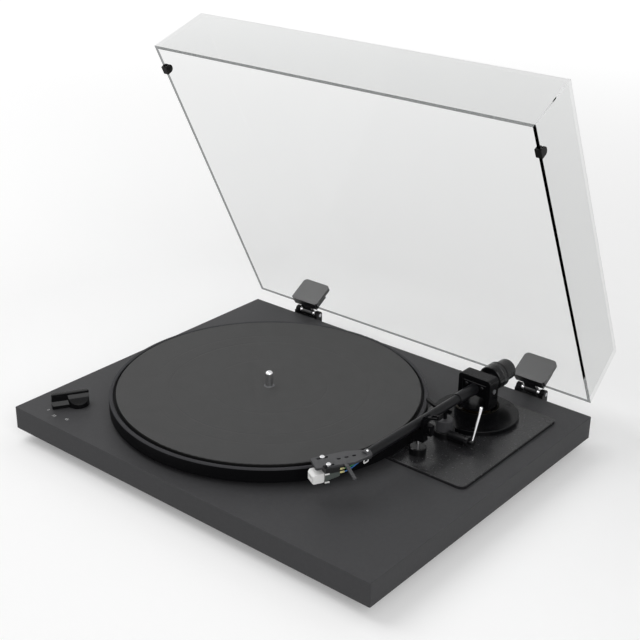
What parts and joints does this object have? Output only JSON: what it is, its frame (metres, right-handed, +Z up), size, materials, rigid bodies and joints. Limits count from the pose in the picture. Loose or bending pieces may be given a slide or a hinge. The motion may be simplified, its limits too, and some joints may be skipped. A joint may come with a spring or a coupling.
{
  "type": "turntable",
  "caption": "Belt-driven turntable with a round platter and mat, a pivoted tone arm with lift and rest, a speed selector knob and a hinged clear lid.",
  "frame": {"origin": "on the spindle's axis, level with the top of the mat", "axes": "+X to the right, +Y to the back where the lid is hinged, +Z up along the spindle"},
  "size_m": [0.42, 0.3966, 0.3675],
  "materials": {
    "plinth_paint": "charcoal satin lacquer on fibreboard",
    "foot_rubber": "matt moulded rubber",
    "screw_steel": "bright zinc screws",
    "black_plastic": "matt black",
    "gloss_black": "gloss black",
    "bearing_bronze": "turned bronze",
    "bearing_steel": "ground steel",
    "spindle_chrome": "polished",
    "sub_platter_plastic": "moulded black",
    "platter_metal": "turned, dark side and satin lip",
    "mat_rubber": "matt charcoal",
    "belt_rubber": "ground flat belt",
    "motor_steel": "zinc plated can",
    "pulley_brass": "turned",
    "board_laminate": "green laminate",
    "arm_board_gloss": "gloss black acrylic",
    "arm_black": "gloss black paint",
    "ring_gold": "bright",
    "tube_grey": "dark satin anodised",
    "head_grey": "dark satin anodised",
    "weight_steel": "black oxide, bright edges",
    "cartridge_green": "moulded dark grey green",
    "stylus_grey": "moulded light grey",
    "stylus_diamond": "polished",
    "screw_chrome": "polished",
    "lead_wire": "thin insulated wire",
    "rod_chrome": "polished",
    "lid_acrylic": "clear acrylic",
    "bumper_rubber": "black rubber",
    "socket_metal": "nickel and gold plated"
  },
  "bodies": {
    "root": {"plinth": "plinth_paint", "feet": "foot_rubber", "underside_screws": "screw_steel", "underside_covers": "black_plastic", "bearing_housing": "bearing_steel", "bearing_bush": "bearing_bronze", "bearing_ball": "bearing_steel", "drive_belt": "belt_rubber", "motor": "motor_steel", "motor_plate": "motor_steel", "top_screws": "black_plastic", "selector_switch": "black_plastic", "circuit_board": "board_laminate", "arm_board": "arm_board_gloss", "arm_base": "arm_black", "arm_pillar": "arm_black", "pillar_ring": "ring_gold", "bearing_cup": "bearing_bronze", "rest_collar": "gloss_black", "rest_rod": "rod_chrome", "rest_cradle": "black_plastic", "lift_column": "arm_black", "lift_housing": "tube_grey", "hinge_brackets": "black_plastic", "hinge_pins": "bearing_steel", "terminal_plate": "black_plastic", "phono_sockets": "socket_metal", "rear_screws": "screw_steel"},
    "platter_assembly": {"spindle": "spindle_chrome", "sub_platter": "sub_platter_plastic", "platter": "platter_metal", "platter_mat": "mat_rubber"},
    "pulley": {"motor_shaft": "bearing_steel", "motor_pulley": "pulley_brass"},
    "selector": {"selector_stem": "bearing_steel", "selector_knob": "gloss_black"},
    "arm_swivel": {"pivot_column": "arm_black", "arm_yoke": "arm_black", "pivot_screws": "screw_steel"},
    "arm_wand": {"arm_block": "arm_black", "block_screws": "weight_steel", "arm_tube": "tube_grey", "arm_collar": "tube_grey", "counterweight_stub": "bearing_steel", "headshell": "head_grey", "cartridge": "cartridge_green", "stylus_holder": "stylus_grey", "stylus": "stylus_diamond", "cartridge_screws": "screw_chrome", "cartridge_leads": "lead_wire"},
    "weight": {"counterweight": "weight_steel"},
    "dial": {"force_dial": "gloss_black"},
    "latch": {"rest_latch": "black_plastic"},
    "lift_handle": {"lift_axle": "gloss_black", "lift_lever": "rod_chrome"},
    "lift_bar": {"lift_rail": "arm_black"},
    "cover": {"lid": "lid_acrylic", "lid_bumpers": "bumper_rubber", "hinge_clamps": "black_plastic", "clamp_screws": "black_plastic"}
  },
  "joints": [
    {"name": "platter_spin", "type": "hinge", "parent": "root", "child": "platter_assembly", "pos_m": [0, 0, 0], "axis": [0, 0, 1], "continuous": true},
    {"name": "pulley_spin", "type": "hinge", "parent": "root", "child": "pulley", "pos_m": [-0.085, -0.049, -0.01], "axis": [0, 0, 1], "continuous": true},
    {"name": "selector_turn", "type": "hinge", "parent": "root", "child": "selector", "pos_m": [-0.1334, -0.1207, -0.0133], "axis": [0, 0, 1], "range_deg": [0, 58.2]},
    {"name": "lid_hinge", "type": "hinge", "parent": "root", "child": "cover", "pos_m": [0.0357, 0.1843, -0.0164], "axis": [1, 0, 0], "range_deg": [-7, 63.3]},
    {"name": "arm_swing", "type": "hinge", "parent": "root", "child": "arm_swivel", "pos_m": [0.1651, 0.1035, -0.0033], "axis": [0, 0, -1], "range_deg": [0, 35]},
    {"name": "arm_tilt", "type": "hinge", "parent": "arm_swivel", "child": "arm_wand", "pos_m": [0.1651, 0.1035, 0.015], "axis": [-0.9999, 0.0157, 0], "range_deg": [0, 6]},
    {"name": "weight_slide", "type": "slide", "parent": "arm_wand", "child": "weight", "axis": [-0.0157, -0.9999, 0], "range_m": [-0.005, 0.005]},
    {"name": "dial_turn", "type": "hinge", "parent": "weight", "child": "dial", "pos_m": [0.16545, 0.1255, 0.015], "axis": [-0.0157, -0.9999, 0], "continuous": true},
    {"name": "latch_turn", "type": "hinge", "parent": "root", "child": "latch", "pos_m": [0.1717, 0.0117, 0.0232], "axis": [0, -1, 0], "range_deg": [0, 180]},
    {"name": "lift_lever_turn", "type": "hinge", "parent": "root", "child": "lift_handle", "pos_m": [0.1907, 0.0484, -0.0093], "axis": [1, 0, 0], "range_deg": [0, 70]},
    {"name": "lift_drop", "type": "slide", "parent": "root", "child": "lift_bar", "axis": [0, 0, 1], "range_m": [-0.0058, 0]}
  ],
  "couplings": [
    {"joint": "pulley_spin", "follows": "platter_spin", "ratio": 8.8571},
    {"joint": "lift_drop", "follows": "lift_lever_turn", "m_per_rad": -0.00474}
  ]
}
